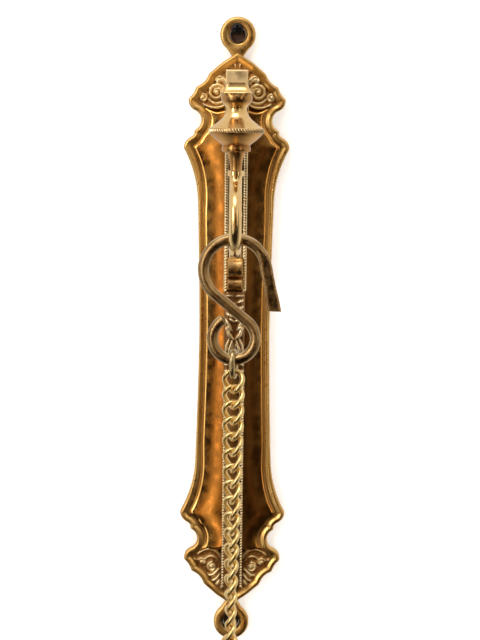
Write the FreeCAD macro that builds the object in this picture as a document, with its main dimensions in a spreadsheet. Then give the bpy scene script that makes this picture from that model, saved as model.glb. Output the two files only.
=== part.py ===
import os
from math import asin, atan2, cos, degrees, pi, radians, sin, sqrt

import FreeCAD
import Part

# Wall bracket of a hanging brass scale: a long cast backplate, a square arm held by a scroll
# brace, a turned drop with a swivelling hook, a loose S-hook and a curb chain with its load hook.
# The back of the plate lies in the plane Y = 0, the front faces -Y and +Z is up. The origin is
# the middle of the plate's back. Millimetres.

doc = FreeCAD.newDocument("hanging_scale_bracket")
sheet = doc.addObject("Spreadsheet::Sheet", "sizes")

SIZES = [
    # backplate
    ("waist_half_width", 19.3),
    ("shoulder_half_width", 29.0),
    ("shoulder_height", 100.5),
    ("crest_height", 61.8),
    ("lug_radius", 9.7),
    ("lug_hole_radius", 4.4),
    ("plate_thickness", 3.2),
    ("border_width", 3.4),
    ("border_height", 5.6),
    ("panel_gap", 1.2),
    ("panel_height", 7.0),
    ("panel_crown_radius", 70.0),
    ("panel_end_margin", 6.5),
    # relief castings in the two pointed ends
    ("relief_inset", 4.6),
    ("relief_thickness", 2.2),
    ("volute_wire", 1.0),
    ("volute_radius", 4.2),
    # arm
    ("arm_side", 11.2),
    ("arm_reach", 90.0),
    ("arm_rise", 34.8),
    ("arm_chamfer", 0.7),
    ("arm_screw_radius", 2.5),
    ("arm_screw_length", 22.0),
    # brace
    ("brace_width", 12.4),
    ("brace_thickness", 5.0),
    ("brace_reach", 56.0),
    ("brace_foot_height", 36.0),
    ("volute_roll_radius", 5.5),
    ("spine_thickness", 4.0),
    ("spine_bottom", -142.0),
    ("spine_width", 11.2),
    ("leaf_length", 58.0),
    # turned drop
    ("bulge_radius", 8.1),
    ("neck_radius", 5.4),
    ("rim_radius", 14.6),
    ("rim_thickness", 3.2),
    ("bell_drop", 19.5),
    ("bowl_depth", 8.0),
    ("collar_radius", 7.4),
    ("collar_length", 3.2),
    ("trumpet_length", 9.2),
    ("trumpet_radius", 3.0),
    ("swivel_radius", 2.0),
    ("running_gap", 0.08),
    # hook
    ("hook_wire_radius", 3.2),
    ("hook_bend_radius", 16.0),
    ("hook_neck_radius", 6.0),
    ("hook_collar_radius", 4.2),
    ("hook_collar_length", 3.0),
    # S-hook
    ("s_wire_radius", 2.85),
    ("s_upper_radius", 16.0),
    ("s_lower_radius", 11.0),
    ("s_eye_spacing", 35.1),
    ("s_tail_length", 24.5),
    # chain
    ("contact_gap", 0.1),
    ("ring_wire_radius", 1.5),
    ("ring_length", 16.0),
    ("ring_half_width", 4.7),
    ("link_wire_radius", 1.3),
    ("link_half_width", 4.8),
    ("link_half_length", 5.45),
    ("link_twist_deg", 45.0),
    ("link_turn_deg", -4.5),
    ("first_link_turn_deg", -20.0),
    ("ring_turn_deg", -10.0),
    ("crossing_gap", 0.35),
    # load hook
    ("load_wire_radius", 2.4),
    ("load_eye_radius", 5.0),
    ("load_bend_radius", 10.0),
    ("load_shank", 14.0),
]
LINK_COUNT = 17

for row, (name, value) in enumerate(SIZES, start=1):
    sheet.set(f"A{row}", name)
    sheet.set(f"B{row}", str(value))
    sheet.setAlias(f"B{row}", name)
doc.recompute()


def size(name):
    return float(getattr(sheet, name))


def bind(thing, **sizes):
    for property_name, formula in sizes.items():
        thing.setExpression(property_name, formula)


def vec(x, y, z):
    return FreeCAD.Vector(x, y, z)


pieces = []


def finish_piece(thing, label):
    thing.Label = label
    pieces.append(thing)
    return thing


def add_shape(label, shape):
    piece = doc.addObject("Part::Feature", label)
    piece.Shape = shape
    return finish_piece(piece, label)


# ---------------------------------------------------------------- common heights, front faces

lug_height = size("shoulder_height") + size("crest_height")
arm_middle = size("shoulder_height") + size("arm_rise")
arm_bottom = arm_middle - size("arm_side") / 2
plate_front = -size("plate_thickness")
panel_front = -size("panel_height")
axis_y = -size("arm_reach")


def front_sketch(name):
    """An empty sketch in the XZ plane; what is drawn at (x, z) is extruded toward the front."""
    sketch = doc.addObject("Sketcher::SketchObject", name)
    turn = FreeCAD.Rotation(vec(1, 0, 0), 90)
    sketch.Placement = FreeCAD.Placement(vec(0, 0, 0), turn)
    return sketch


def extrude_front(base, name, length):
    """A solid from a closed sketch, `length` (a formula) deep toward -Y."""
    solid = doc.addObject("Part::Extrusion", name)
    solid.Base = base
    solid.DirMode = "Custom"
    solid.Dir = vec(0, -1, 0)
    solid.Solid = True
    solid.setExpression("LengthFwd", length)
    return solid


# ---------------------------------------------------------------- backplate

def quarter_outline():
    """Upper right quarter of the plate, from the end of the waist to the lug's neck."""
    waist = size("waist_half_width")
    wide = size("shoulder_half_width")
    top = size("shoulder_height")
    lug = size("lug_radius")
    join = (waist + 1.6, 0.716 * top)
    sweep = (0.71 * join[0] + 0.29 * wide, 0.486 * join[1] + 0.514 * top)
    neck_angle = radians(-58)
    neck = (lug * cos(neck_angle), lug_height + lug * sin(neck_angle))
    return [
        ("arc", [join, sweep, (wide, top)]),
        ("arc", [(wide, top), (wide - 0.9, top + 3.2), (wide - 4.2, top + 6.0)]),
        ("line", [(wide - 4.2, top + 6.0), (wide - 6.0, top + 7.6)]),
        ("line", [(wide - 6.0, top + 7.6), (wide - 5.7, top + 9.6)]),
        ("arc", [(wide - 5.7, top + 9.6), (wide - 9.6, top + 14.6), (wide - 6.8, top + 20.2)]),
        ("arc", [(wide - 6.8, top + 20.2), (wide - 3.6, top + 22.4), (wide - 2.5, top + 27.0)]),
        ("arc", [(wide - 2.5, top + 27.0), (wide - 5.0, top + 29.6), (wide - 6.6, top + 33.4)]),
        ("arc", [(wide - 6.6, top + 33.4), (wide - 10.9, top + 36.0), (wide - 13.4, top + 40.4)]),
        ("line", [(wide - 13.4, top + 40.4), (wide - 20.6, top + 46.6)]),
        ("arc", [(wide - 20.6, top + 46.6), (wide - 23.4, top + 49.9), neck]),
    ]


def flip(points, side, end):
    return [vec(side * x, end * z, 0) for x, z in points]


def add_outline(sketch):
    """All four quarters and the two lug arcs as one closed outline."""
    for side in (1, -1):
        for end in (1, -1):
            for kind, points in quarter_outline():
                at = flip(points, side, end)
                if kind == "line":
                    sketch.addGeometry(Part.LineSegment(at[0], at[1]))
                else:
                    sketch.addGeometry(Part.Arc(at[0], at[1], at[2]))
    join = quarter_outline()[0][1][0]
    for side in (1, -1):
        waist = (size("waist_half_width"), 0)
        low, middle, high = flip([(join[0], -join[1]), waist, join], side, 1)
        sketch.addGeometry(Part.Arc(low, middle, high))
    neck = quarter_outline()[-1][1][-1]
    for end in (1, -1):
        right, left = flip([neck], 1, end) + flip([neck], -1, end)
        tip = vec(0, end * (lug_height + size("lug_radius")), 0)
        sketch.addGeometry(Part.Arc(right, tip, left))


def inset(base, name, formula):
    """The outline moved inward by a formula, in the outline's own plane."""
    contour = doc.addObject("Part::Offset2D", name)
    contour.Source = base
    contour.Join = "Arc"
    contour.setExpression("Value", formula)
    return contour


outline = front_sketch("plate_outline")
add_outline(outline)
doc.recompute()


def joined(kind, name, things):
    whole = doc.addObject(kind, name)
    if kind == "Part::Cut":
        whole.Base, whole.Tool = things
    else:
        whole.Shapes = things
    return whole


def through_hole(name, z, radius, y_front):
    """A cylinder along Y on the centre line, from 1 mm behind the plate to y_front."""
    hole = doc.addObject("Part::Cylinder", name)
    bind(hole, Radius=radius)
    hole.Height = 1.0 - y_front
    hole.Placement = FreeCAD.Placement(vec(0, 1.0, z), FreeCAD.Rotation(vec(1, 0, 0), 90))
    return hole


def screw_sink(name, z):
    """Countersink in the plate's back for a flat-headed screw at height z on the centre line."""
    cone = doc.addObject("Part::Cone", name)
    bind(cone, Radius1="sizes.arm_screw_radius + 2.1", Radius2="sizes.arm_screw_radius")
    cone.Height = 2.1
    cone.Placement = FreeCAD.Placement(vec(0, 0, z), FreeCAD.Rotation(vec(1, 0, 0), 90))
    return cone


# the arm screw and the two strap screws, all driven from behind on the centre line
screw_heights = [arm_middle, size("brace_foot_height") + 42, size("spine_bottom") + 34]


def make_backplate():
    base = extrude_front(outline, "plate_base", "sizes.plate_thickness")
    rim_outer = extrude_front(outline, "border_block", "sizes.border_height")
    rim_line = inset(outline, "border_line", "-sizes.border_width")
    rim_inner = extrude_front(rim_line, "border_hollow", "sizes.border_height + 1")
    border = joined("Part::Cut", "border", [rim_outer, rim_inner])
    panel_line = inset(outline, "panel_line", "-(sizes.border_width + sizes.panel_gap)")
    slab = extrude_front(panel_line, "panel_slab", "sizes.panel_height + 1")
    crown = doc.addObject("Part::Cylinder", "panel_crown")
    bind(
        crown,
        Radius="sizes.panel_crown_radius",
        Height="2 * (sizes.shoulder_height + sizes.panel_end_margin)",
    )
    half = size("shoulder_height") + size("panel_end_margin")
    crown.Placement.Base = vec(0, size("panel_crown_radius") - size("panel_height"), -half)
    doc.recompute()
    panel = doc.addObject("Part::Feature", "panel")
    panel.Shape = slab.Shape.common(crown.Shape)
    body = joined("Part::MultiFuse", "plate_body", [base, border, panel])
    holes = []
    for end in (1, -1):
        name = "top_lug_hole" if end > 0 else "foot_lug_hole"
        holes.append(through_hole(name, end * lug_height, "sizes.lug_hole_radius", -20))
    for number, z in enumerate(screw_heights):
        radius = "sizes.arm_screw_radius"
        holes.append(through_hole(f"screw_hole_{number}", z, radius, panel_front - 3))
        holes.append(screw_sink(f"screw_sink_{number}", z))
    cutters = joined("Part::MultiFuse", "plate_cutters", holes)
    return finish_piece(joined("Part::Cut", "plate_cut", [body, cutters]), "backplate")


make_backplate()


# ---------------------------------------------------------------- relief castings

def half_turns(centre, radius, turns, start_deg, hand, shrink, y):
    """Edges of a volute in the XZ plane: half circles, each smaller than the last by `shrink`."""
    edges = []
    cx, cz = centre
    angle = radians(start_deg)
    for _ in range(turns):
        a = vec(cx + radius * cos(angle), y, cz + radius * sin(angle))
        mid = angle + hand * pi / 2
        b = vec(cx + radius * cos(mid), y, cz + radius * sin(mid))
        end = angle + hand * pi
        c = vec(cx + radius * cos(end), y, cz + radius * sin(end))
        edges.append(Part.Arc(a, b, c).toShape())
        smaller = radius * shrink
        cx += (radius - smaller) * cos(end)
        cz += (radius - smaller) * sin(end)
        radius = smaller
        angle = end
    return edges


def tube(edges, radius):
    """Round bar along joined edges."""
    path = Part.Wire(edges)
    first = edges[0]
    start = first.valueAt(first.FirstParameter)
    along = first.tangentAt(first.FirstParameter)
    ring = Part.Wire([Part.makeCircle(radius, start, along)])
    return path.makePipeShell([ring], True, True)


def make_relief(label, end):
    """Plaque with scrolls in relief; `end` is 1 for the top of the plate and -1 for the foot."""
    top = size("shoulder_height")
    line = inset(outline, f"{label}_line", "-sizes.relief_inset")
    slab = extrude_front(line, f"{label}_slab", "sizes.plate_thickness + sizes.relief_thickness")
    keep = Part.makeBox(80, 20, 35, vec(-40, plate_front - 20, top + 8.2))
    lower = Part.makeCylinder(20, 40, vec(0, 5, top - 7), vec(0, -1, 0))
    doc.recompute()
    plaque = slab.Shape.copy()
    if end < 0:
        keep = keep.mirror(vec(0, 0, 0), vec(0, 0, 1))
        lower = lower.mirror(vec(0, 0, 0), vec(0, 0, 1))
    plaque = plaque.common(keep).cut(lower)
    wire = size("volute_wire")
    big = size("volute_radius")
    y = plate_front - size("relief_thickness")
    scrolls = []
    for side in (1, -1):
        for x, z, radius, hand in (
            (14.2, top + 22.5, big, 1),
            (11.5, top + 31.5, 0.7 * big, -1),
            (20.6, top + 27.0, 0.55 * big, -1),
        ):
            edges = half_turns((side * x, end * z), radius, 2, 90 * end, side * hand * end, 0.62, y)
            scrolls.append(tube(edges, wire * (0.62 + 0.38 * radius / big)))
    shape = plaque.multiFuse(scrolls).cut(doc.getObject("border").Shape)
    # 0.1 mm clear all round the arm and the brace's strap
    if end > 0:
        notch = size("arm_side") + 0.2
        corner = vec(-notch / 2, -20, arm_middle - notch / 2)
        shape = shape.cut(Part.makeBox(notch, 20, notch, corner))
    spine = size("brace_width") + 0.2
    reach = (arm_middle if end > 0 else -size("spine_bottom")) + 0.1
    corner = vec(-spine / 2, -20, 0 if end > 0 else -reach)
    shape = shape.cut(Part.makeBox(spine, 20, reach, corner))
    return add_shape(label, shape)


make_relief("top_relief", 1)
make_relief("bottom_relief", -1)


# ---------------------------------------------------------------- arm and its screw

def make_arm():
    """Square bar from the plate's face to just past the drop's axis, with tapped holes."""
    side = size("arm_side")
    bar = doc.addObject("Part::Box", "arm_bar")
    bind(
        bar,
        Length="sizes.arm_side",
        Height="sizes.arm_side",
        Width="sizes.arm_reach + sizes.arm_side / 2 - sizes.plate_thickness",
    )
    bar.Placement.Base = vec(-side / 2, axis_y - side / 2, arm_bottom)
    tapped = doc.addObject("Part::Cylinder", "arm_tapped_hole")
    bind(tapped, Radius="sizes.arm_screw_radius", Height="sizes.arm_screw_length + 1")
    tapped.Placement = FreeCAD.Placement(
        vec(0, 0, arm_middle), FreeCAD.Rotation(vec(1, 0, 0), 90)
    )
    stud = doc.addObject("Part::Cylinder", "arm_stud_hole")
    bind(stud, Radius="sizes.swivel_radius + 1", Height="sizes.arm_side - 3")
    stud.Placement.Base = vec(0, axis_y, arm_bottom)
    holes = joined("Part::MultiFuse", "arm_holes", [tapped, stud])
    cut = joined("Part::Cut", "arm_drilled", [bar, holes])
    doc.recompute()
    bevelled = doc.addObject("Part::Chamfer", "arm_bevelled")
    bevelled.Base = cut
    front = axis_y - side / 2
    chosen = []
    for number, edge in enumerate(cut.Shape.Edges, start=1):
        on_front = all(abs(vertex.Y - front) < 0.01 for vertex in edge.Vertexes)
        if on_front and len(edge.Vertexes) == 2:
            chosen.append((number, size("arm_chamfer"), size("arm_chamfer")))
    bevelled.Edges = chosen
    return finish_piece(bevelled, "arm")


def make_screw(label, z, length):
    """Flat-headed screw let in flush from the plate's back, head 0.1 mm below it."""
    shank = size("arm_screw_radius") - 0.05
    head = shank + 1.9
    sunk = -0.1
    profile = [
        vec(0, sunk, z),
        vec(head, sunk, z),
        vec(shank, sunk - 1.9, z),
        vec(shank, -length, z),
        vec(0, -length, z),
    ]
    face = Part.Face(Part.makePolygon(profile + profile[:1]))
    solid = face.revolve(vec(0, 0, z), vec(0, 1, 0), 360)
    slot = Part.makeBox(2 * head, 0.9, 0.9, vec(-head, sunk - 0.85, z - 0.45))
    return add_shape(label, solid.cut(slot))


make_arm()
make_screw("arm_screw", arm_middle, size("arm_screw_length"))

# ---------------------------------------------------------------- scroll brace

def strip(edges, thickness, width):
    """Flat bar `width` across X whose middle line in the YZ plane is the joined edges."""
    path = Part.Wire(edges)
    both = []
    for side in (1, -1):
        both.append(path.makeOffset2D(side * thickness / 2, 0, False, True))
    first, second = both
    ends = []
    for index in (0, -1):
        a = first.OrderedVertexes[index].Point
        b = min((second.OrderedVertexes[0].Point, second.OrderedVertexes[-1].Point),
                key=lambda p: p.distanceToPoint(a))
        ends.append(Part.LineSegment(a, b).toShape())
    loop = Part.Wire(Part.__sortEdges__(first.Edges + second.Edges + ends))
    face = Part.Face(loop)
    face.translate(vec(-width / 2, 0, 0))
    return face.extrude(vec(width, 0, 0))


def yz(forward, z):
    """Point on the middle plane, `forward` mm in front of the plate's back."""
    return vec(0, -forward, z)


def arc_edge(a, b, c):
    return Part.Arc(a, b, c).toShape()


def yz_slab(points, width):
    """Prism across X from a closed outline of (forward, z) curves or points."""
    face = Part.Face(Part.Wire(points))
    face.translate(vec(-width / 2, 0, 0))
    return face.extrude(vec(width, 0, 0))


def roll(forward, z, radius, width):
    return Part.makeCylinder(radius, width, vec(-width / 2, -forward, z), vec(1, 0, 0))


width = size("brace_width")
thick = size("brace_thickness")
panel_rise = size("panel_height")
spine_front = panel_rise + size("spine_thickness")
foot_z = size("brace_foot_height")
brace_reach = size("brace_reach")


def make_spine():
    """Flat strap down the middle of the plate, from under the arm to the foot, tapped behind."""
    across = size("spine_width")
    low = size("spine_bottom")
    corner = vec(-across / 2, -spine_front, low)
    strap = Part.makeBox(across, size("spine_thickness"), arm_bottom - low, corner)
    for z in screw_heights[1:]:
        depth = spine_front - 1
        tapped = Part.makeCylinder(size("arm_screw_radius"), depth, vec(0, 0, z), vec(0, -1, 0))
        strap = strap.cut(tapped)
    return add_shape("brace_spine", strap)


def make_scroll():
    """Curved rib from under the arm down to the spine, with a roll at the top and two below."""
    middle = spine_front + thick / 2
    rise = arm_bottom - foot_z - 12
    run = brace_reach - middle
    bend = (run**2 + rise**2) / (2 * run)
    reach = asin(rise / bend)
    centre = (middle + bend, foot_z + 12)
    points = []
    for share in (1.06, 0.5, 0):
        angle = share * reach
        points.append(yz(centre[0] - bend * cos(angle), centre[1] + bend * sin(angle)))
    lower_end = yz(middle, foot_z)
    rib = strip([arc_edge(*points), Part.LineSegment(points[2], lower_end).toShape()], thick, width)
    rib = rib.cut(Part.makeBox(width + 2, 200, 50, vec(-width / 2 - 1, -200, arm_bottom)))
    big = size("volute_roll_radius")
    small = 0.72 * big
    rolls = [
        roll(brace_reach - big, arm_bottom - big, big, width),
        roll(spine_front + big, foot_z, big, width),
        roll(spine_front + small, foot_z - big - small + 0.5, small, width),
    ]
    return add_shape("brace_scroll", rib.multiFuse(rolls).removeSplitter())


def make_leaf():
    """Acanthus leaf under the lower rolls: a bulging body that thins toward its ledge."""
    big = size("volute_roll_radius")
    top = foot_z - big - 1.44 * big + 0.3
    low = top - size("leaf_length") + 12
    out = spine_front
    edges = [
        Part.LineSegment(yz(out, low), yz(out, top)).toShape(),
        Part.LineSegment(yz(out, top), yz(out + 7, top)).toShape(),
        arc_edge(yz(out + 7, top), yz(out + 9.5, top - 14), yz(out + 5.5, low + 6)),
        Part.LineSegment(yz(out + 5.5, low + 6), yz(out + 5.5, low)).toShape(),
        Part.LineSegment(yz(out + 5.5, low), yz(out, low)).toShape(),
    ]
    return add_shape("brace_leaf", yz_slab(edges, size("spine_width")))


make_spine()
make_scroll()
make_leaf()
for number, z in enumerate(screw_heights[1:], start=1):
    make_screw(f"brace_screw_{number}", z, spine_front - 2)

# ---------------------------------------------------------------- turned drop

rim_top = arm_bottom - size("bell_drop") + size("rim_thickness") / 2
rim_low = rim_top - size("rim_thickness")
rim_middle = (rim_top + rim_low) / 2
spigot = size("rim_radius") - 2.2
cavity = spigot - 5.0
bowl_low = rim_low - size("bowl_depth") + 2
collar_low = bowl_low - size("collar_length")
trumpet_low = collar_low - size("trumpet_length")
cavity_floor = bowl_low + 1.8
swivel_bore = size("swivel_radius") + size("running_gap")


def turned(label, edges):
    """Solid of revolution about the drop's upright axis from edges in (radius, 0, z)."""
    body = doc.addObject("Part::Feature", label)
    profile = Part.Face(Part.Wire(Part.__sortEdges__(edges)))
    solid = profile.revolve(vec(0, 0, 0), vec(0, 0, 1), 360)
    body.Shape = solid
    body.Placement.Base = vec(0, axis_y, 0)
    return finish_piece(body, label)


def rz(radius, z):
    return vec(radius, 0, z)


def lines(points):
    return [Part.LineSegment(a, b).toShape() for a, b in zip(points, points[1:])]


def make_bell():
    bulge = size("bulge_radius")
    neck = size("neck_radius")
    stud = size("swivel_radius") + 0.95
    stud_top = arm_bottom + size("arm_side") - 4
    flare = spigot + 0.7
    inner = lines([
        rz(0, stud_top),
        rz(stud, stud_top),
        rz(stud, arm_bottom),
        rz(size("arm_side") / 2, arm_bottom),
    ])
    skin = [
        arc_edge(rz(size("arm_side") / 2, arm_bottom), rz(bulge, arm_bottom - 3.1),
                 rz(neck + 0.5, arm_bottom - 6.6)),
        arc_edge(rz(neck + 0.5, arm_bottom - 6.6), rz(neck, arm_bottom - 8.2),
                 rz(neck + 0.3, arm_bottom - 10)),
        arc_edge(rz(neck + 0.3, arm_bottom - 10), rz(neck + 2.9, rim_top + 3.7),
                 rz(flare, rim_top + 0.6)),
    ]
    under = lines([
        rz(flare, rim_top + 0.6),
        rz(flare, rim_top),
        rz(spigot, rim_top),
        rz(spigot, rim_middle),
        rz(cavity, rim_middle),
        rz(cavity * 0.9, rim_top + 0.5),
        rz(neck - 2.5, rim_top + 4.5),
        rz(0, rim_top + 4.5),
        rz(0, stud_top),
    ])
    return turned("drop_bell", inner + skin + under)


def make_rim():
    outer = size("rim_radius")
    bore = spigot + 0.03
    return turned("knurled_rim", lines([
        rz(bore, rim_low),
        rz(outer - 0.5, rim_low),
        rz(outer, rim_low + 0.7),
        rz(outer, rim_top - 0.7),
        rz(outer - 0.5, rim_top),
        rz(bore, rim_top),
        rz(bore, rim_low),
    ]))


def make_bowl():
    collar = size("collar_radius")
    waist = size("trumpet_radius")
    top = lines([
        rz(swivel_bore, trumpet_low),
        rz(swivel_bore, cavity_floor),
        rz(cavity * 0.75, cavity_floor),
        rz(cavity, cavity_floor + 2),
        rz(cavity, rim_middle),
        rz(spigot, rim_middle),
        rz(spigot, rim_low),
        rz(spigot + 0.9, rim_low),
    ])
    side = [
        arc_edge(rz(spigot + 0.9, rim_low), rz(spigot - 1.4, rim_low - 4), rz(collar - 0.4, bowl_low)),
    ]
    stem = lines([
        rz(collar - 0.4, bowl_low),
        rz(collar, bowl_low - 0.6),
        rz(collar, collar_low + 0.6),
        rz(collar - 0.6, collar_low),
        rz(waist + 1.9, collar_low),
    ])
    trumpet = [
        arc_edge(rz(waist + 1.9, collar_low), rz(waist + 0.35, collar_low - 3.4),
                 rz(waist, trumpet_low)),
    ]
    base = lines([rz(waist, trumpet_low), rz(swivel_bore, trumpet_low)])
    return turned("drop_bowl", top + side + stem + trumpet + base)


make_bell()
make_rim()
make_bowl()

# ---------------------------------------------------------------- swivelling hook

hook_top = trumpet_low - size("running_gap")
stem_top = cavity_floor + 5.2
washer_low = cavity_floor + size("running_gap")
hook_shoulder = hook_top - size("hook_collar_length")


def yz_arc(centre, radius, start_deg, end_deg):
    """Arc in the YZ plane about (forward, z); 0 degrees points forward and 90 up."""
    points = []
    for share in (0, 0.5, 1):
        angle = radians(start_deg + share * (end_deg - start_deg))
        points.append(yz(centre[0] + radius * cos(angle), centre[1] + radius * sin(angle)))
    return Part.Arc(*points).toShape()


def crook(forward, top, neck, bend, end_deg):
    """Path of a question-mark hook and the height of its round part's centre."""
    low = top - 0.6
    spread = bend + neck
    centre_z = low - sqrt(spread**2 - neck**2)
    lean = degrees(atan2(low - centre_z, neck))
    edges = [
        Part.LineSegment(yz(forward, top), yz(forward, low)).toShape(),
        yz_arc((forward + neck, low), neck, 180, 180 + lean),
        yz_arc((forward, centre_z), bend, lean, -90),
        yz_arc((forward, centre_z), bend, -90, end_deg),
    ]
    return edges, centre_z


hook_path, hook_centre_z = crook(
    size("arm_reach"), hook_shoulder, size("hook_neck_radius"), size("hook_bend_radius"), -187
)


def make_hook():
    wire = size("hook_wire_radius")
    bar = tube(hook_path, wire)
    tip = hook_path[-1].valueAt(hook_path[-1].LastParameter)
    ball = Part.makeSphere(wire + 0.25, tip)
    centre = vec(0, axis_y, 0)
    collar = Part.makeCylinder(size("hook_collar_radius"), size("hook_collar_length"),
                               centre + vec(0, 0, hook_shoulder))
    edge_break = 0.5
    collar = collar.makeChamfer(edge_break, [e for e in collar.Edges if len(e.Vertexes) == 1])
    stem = Part.makeCylinder(size("swivel_radius"), stem_top - hook_top + 0.5,
                             centre + vec(0, 0, hook_top - 0.5))
    return add_shape("hook", bar.multiFuse([ball, collar, stem]).removeSplitter())


def make_swivel_stack():
    """Washer and hexagon nut that hold the hook's stem up inside the bowl."""
    bore = size("swivel_radius") + 0.05
    centre = vec(0, axis_y, washer_low)
    washer = Part.makeCylinder(4.6, 1.2, centre).cut(Part.makeCylinder(bore, 1.2, centre))
    add_shape("swivel_washer", washer)
    corners = []
    for number in range(7):
        angle = radians(60 * number)
        corners.append(centre + vec(4.0 * cos(angle), 4.0 * sin(angle), 1.2))
    nut = Part.Face(Part.makePolygon(corners)).extrude(vec(0, 0, 3.2))
    nut = nut.cut(Part.makeCylinder(bore, 4, centre + vec(0, 0, 1.2)))
    add_shape("swivel_nut", nut)


make_hook()
make_swivel_stack()

# ---------------------------------------------------------------- S-hook

hook_bottom = hook_centre_z - size("hook_bend_radius")
s_wire = size("s_wire_radius")
s_crown = hook_bottom + size("hook_wire_radius") + size("contact_gap") + s_wire
s_upper_z = s_crown - size("s_upper_radius")
s_lower_z = s_upper_z - size("s_eye_spacing")
TAIL_ANGLE = 11.4


def xz_arc(centre_z, radius, start_deg, end_deg):
    """Arc in the chain's plane about (0, centre_z); 0 degrees points to +X and 90 up."""
    points = []
    for share in (0, 0.5, 1):
        angle = radians(start_deg + share * (end_deg - start_deg))
        points.append(vec(radius * cos(angle), axis_y, centre_z + radius * sin(angle)))
    return Part.Arc(*points).toShape()


def make_s_hook():
    """Open upper loop with a straight tail, a straight diagonal, and a closed lower eye."""
    upper = size("s_upper_radius")
    lower = size("s_lower_radius")
    cross = degrees(asin((upper + lower) / size("s_eye_spacing")))
    leave = 180 + cross
    first = xz_arc(s_upper_z, upper, TAIL_ANGLE, 90)
    start = first.valueAt(first.FirstParameter)
    tail_angle = radians(TAIL_ANGLE)
    along = vec(sin(tail_angle), 0, -cos(tail_angle))
    tail_end = start + along * size("s_tail_length")
    second = xz_arc(s_upper_z, upper, 90, leave)
    third = xz_arc(s_lower_z, lower, cross, -90)
    fourth = xz_arc(s_lower_z, lower, -90, -245)
    diagonal_start = second.valueAt(second.LastParameter)
    diagonal_end = third.valueAt(third.FirstParameter)
    edges = [
        Part.LineSegment(tail_end, start).toShape(),
        first,
        second,
        Part.LineSegment(diagonal_start, diagonal_end).toShape(),
        third,
        fourth,
    ]
    return add_shape("s_hook", tube(edges, s_wire))


make_s_hook()

# ---------------------------------------------------------------- chain

ring_wire = size("ring_wire_radius")
ring_top = s_lower_z - size("s_lower_radius") + s_wire + size("contact_gap") + ring_wire
ring_bottom = ring_top - size("ring_length") + 2 * ring_wire
link_wire = size("link_wire_radius")
link_pitch = 2 * size("link_half_length") - 2 * link_wire - size("contact_gap")
first_link_z = ring_bottom + ring_wire + size("crossing_gap") + link_wire - size("link_half_length")


def make_ring():
    """Plain oval link, edge-on to the front, that joins the S-hook to the curb chain."""
    half = size("ring_half_width")
    reach = size("arm_reach")
    upper_z = ring_top - half
    lower_z = ring_bottom + half
    edges = [
        yz_arc((reach, upper_z), half, 0, 180),
        Part.LineSegment(yz(reach - half, upper_z), yz(reach - half, lower_z)).toShape(),
        yz_arc((reach, lower_z), half, 180, 360),
        Part.LineSegment(yz(reach + half, lower_z), yz(reach + half, upper_z)).toShape(),
    ]
    ring = tube(edges, ring_wire)
    ring.rotate(vec(0, axis_y, 0), vec(0, 0, 1), size("ring_turn_deg"))
    return add_shape("connecting_link", ring)


def curb_link():
    """One link about its own middle: an oval of round wire twisted about the upright axis."""
    half_width = size("link_half_width")
    half_length = size("link_half_length")
    twist = radians(size("link_twist_deg"))
    steps = 16
    points = []
    for step in range(steps):
        angle = 2 * pi * step / steps
        turn = twist * sin(angle)
        across = half_width * cos(angle)
        points.append(vec(across * cos(turn), across * sin(turn), half_length * sin(angle)))
    curve = Part.BSplineCurve()
    curve.interpolate(Points=points, PeriodicFlag=True)
    first, last = curve.FirstParameter, curve.LastParameter
    middle = (first + last) / 2
    half = tube([curve.toShape(first, middle)], link_wire)
    other = tube([curve.toShape(middle, last)], link_wire)
    return half.fuse(other).Solids[0]


def link_turn(number):
    """Turn of a link about the upright axis: the hanging chain slowly winds."""
    return size("first_link_turn_deg") + number * size("link_turn_deg")


def make_links():
    shape = curb_link()
    for number in range(LINK_COUNT):
        piece = add_shape(f"curb_link_{number + 1:02d}", shape.copy())
        turn = FreeCAD.Rotation(vec(0, 0, 1), link_turn(number))
        place = vec(0, axis_y, first_link_z - number * link_pitch)
        piece.Placement = FreeCAD.Placement(place, turn)


make_ring()
make_links()

# ---------------------------------------------------------------- load hook

last_bottom = first_link_z - (LINK_COUNT - 1) * link_pitch - size("link_half_length")


def make_load_hook():
    """Eye and question-mark hook on the chain's end, turned square to the last link's wire."""
    wire = size("load_wire_radius")
    eye_wire = 0.75 * wire
    eye = size("load_eye_radius")
    eye_z = last_bottom + link_wire + size("contact_gap") + eye_wire - eye
    torus = Part.makeTorus(eye, eye_wire, vec(0, axis_y, eye_z), vec(1, 0, 0))
    start = eye_z - eye
    path, _ = crook(size("arm_reach"), start - size("load_shank"), 4, size("load_bend_radius"), -205)
    shank_foot = vec(0, axis_y, start - size("load_shank") - 0.1)
    shank = Part.makeCylinder(wire, size("load_shank") + 0.1, shank_foot)
    tip = path[-1].valueAt(path[-1].LastParameter)
    ball = Part.makeSphere(wire + 0.3, tip)
    solid = tube(path, wire).multiFuse([shank, torus, ball]).removeSplitter()
    turn = link_turn(LINK_COUNT - 1) - size("link_twist_deg")
    solid.rotate(vec(0, axis_y, 0), vec(0, 0, 1), turn)
    return add_shape("load_hook", solid)


make_load_hook()

# ---------------------------------------------------------------- check and write

doc.recompute()
for thing in doc.Objects:
    if "Invalid" in thing.State or "Error" in thing.State:
        raise RuntimeError(f"{thing.Label} failed to rebuild: {thing.State}")
for piece in pieces:
    shape = piece.Shape
    if shape.isNull() or not shape.isValid() or not shape.Solids:
        raise RuntimeError(f"{piece.Label} is not a sound solid")

os.makedirs("parts", exist_ok=True)
for piece in pieces:
    piece.Shape.exportStep(f"parts/{piece.Label}.step")
    box = piece.Shape.BoundBox
    print(f"{piece.Label:18s} {len(piece.Shape.Solids)} solid {piece.Shape.Volume:9.1f} mm3"
          f"  z {box.ZMin:7.1f} {box.ZMax:7.1f}  y {box.YMin:7.1f} {box.YMax:6.1f}")
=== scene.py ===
from math import asin, atan2, cos, degrees, hypot, pi, radians, sin, sqrt

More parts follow.
